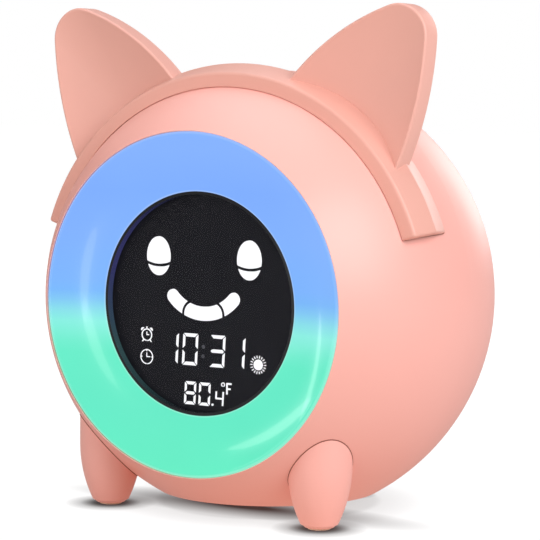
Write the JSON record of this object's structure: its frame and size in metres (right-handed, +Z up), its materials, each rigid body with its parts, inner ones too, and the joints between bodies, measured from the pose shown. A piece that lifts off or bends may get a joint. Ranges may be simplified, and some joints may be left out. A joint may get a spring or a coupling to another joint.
{
  "type": "alarm clock",
  "caption": "Round child's alarm clock with a glowing ring around a dark display, a cat-ear headband, two front legs and a rear panel of push buttons.",
  "frame": {"origin": "centre of the overall box at table level, under the body", "axes": "+X to the right as seen from the front, +Y from the display to the rear panel, +Z up"},
  "size_m": [0.1254, 0.0944, 0.1377],
  "materials": {
    "body_plastic": "satin moulded plastic, coral pink",
    "band_plastic": "satin moulded plastic, slightly deeper coral pink",
    "diffuser": "glossy milky diffuser, lit blue above and green below",
    "white_plastic": "white moulded plastic",
    "button_plastic": "warm white moulded plastic",
    "lamp": "small light-emitting diodes",
    "steel": "bright steel",
    "black_plastic": "black moulded plastic",
    "smoked_window": "thin glossy smoked window",
    "lit_symbol": "white translucent windows, lit from behind",
    "unlit_symbol": "translucent windows that are switched off",
    "circuit_board": "green solder mask",
    "white_board": "white solder mask",
    "rubber_pad": "soft beige rubber",
    "cell_wrap": "blue heat-shrink film",
    "copper": "thin copper foil",
    "sensor_resin": "dipped brown resin"
  },
  "bodies": {
    "clock": {"front_shell": "body_plastic", "rear_shell": "body_plastic", "light_ring": "diffuser", "ring_reflector": "white_plastic", "ring_board": "white_board", "ring_leds": "lamp", "reflector_screws": "steel", "display_bezel": "black_plastic", "display_lens": "smoked_window", "display_mask": "black_plastic", "eye_windows": "lit_symbol", "smile_window": "lit_symbol", "time_digits": "lit_symbol", "temperature_digits": "lit_symbol", "status_icons": "lit_symbol", "unlit_symbols": "unlit_symbol", "light_box": "white_plastic", "display_board": "circuit_board", "display_leds": "lamp", "display_screws": "steel", "headband": "band_plastic", "left_ear": "band_plastic", "right_ear": "band_plastic", "left_leg": "body_plastic", "right_leg": "body_plastic", "leg_pads": "rubber_pad", "leg_screws": "steel", "rear_feet": "rubber_pad", "housing_screws": "steel", "main_board": "circuit_board", "board_parts": "black_plastic", "board_screws": "steel", "coin_cell_holder": "black_plastic", "coin_cell": "steel", "battery_tray": "white_plastic", "battery_pack": "cell_wrap", "touch_plate": "copper", "rear_panel": "body_plastic", "panel_screws": "steel", "speaker_frame": "black_plastic", "speaker_cone": "black_plastic", "speaker_magnet": "steel", "speaker_clamp": "white_plastic", "switch_board": "circuit_board", "push_switches": "black_plastic", "usb_jack": "steel", "temperature_sensor": "sensor_resin", "power_switch": "black_plastic"},
    "time_button": {"button_time": "button_plastic"},
    "alarm_button": {"button_alarm": "button_plastic"},
    "up_button": {"button_up": "button_plastic"},
    "down_button": {"button_down": "button_plastic"},
    "light_button": {"button_light": "button_plastic"},
    "sound_button": {"button_sound": "button_plastic"},
    "power_slider": {"power_knob": "white_plastic"}
  },
  "joints": [
    {"name": "time_button_press", "type": "slide", "parent": "clock", "child": "time_button", "axis": [0, -1, 0], "range_m": [0, 0.0006], "stiffness_N_per_m": 1200, "springref_m": -0.0002},
    {"name": "alarm_button_press", "type": "slide", "parent": "clock", "child": "alarm_button", "axis": [0, -1, 0], "range_m": [0, 0.0006], "stiffness_N_per_m": 1200, "springref_m": -0.0002},
    {"name": "up_button_press", "type": "slide", "parent": "clock", "child": "up_button", "axis": [0, -1, 0], "range_m": [0, 0.0006], "stiffness_N_per_m": 1200, "springref_m": -0.0002},
    {"name": "down_button_press", "type": "slide", "parent": "clock", "child": "down_button", "axis": [0, -1, 0], "range_m": [0, 0.0006], "stiffness_N_per_m": 1200, "springref_m": -0.0002},
    {"name": "light_button_press", "type": "slide", "parent": "clock", "child": "light_button", "axis": [0, -1, 0], "range_m": [0, 0.0006], "stiffness_N_per_m": 1200, "springref_m": -0.0002},
    {"name": "sound_button_press", "type": "slide", "parent": "clock", "child": "sound_button", "axis": [0, -1, 0], "range_m": [0, 0.0006], "stiffness_N_per_m": 1200, "springref_m": -0.0002},
    {"name": "power_slide", "type": "slide", "parent": "clock", "child": "power_slider", "axis": [1, 0, 0], "range_m": [0, 0.002]}
  ]
}
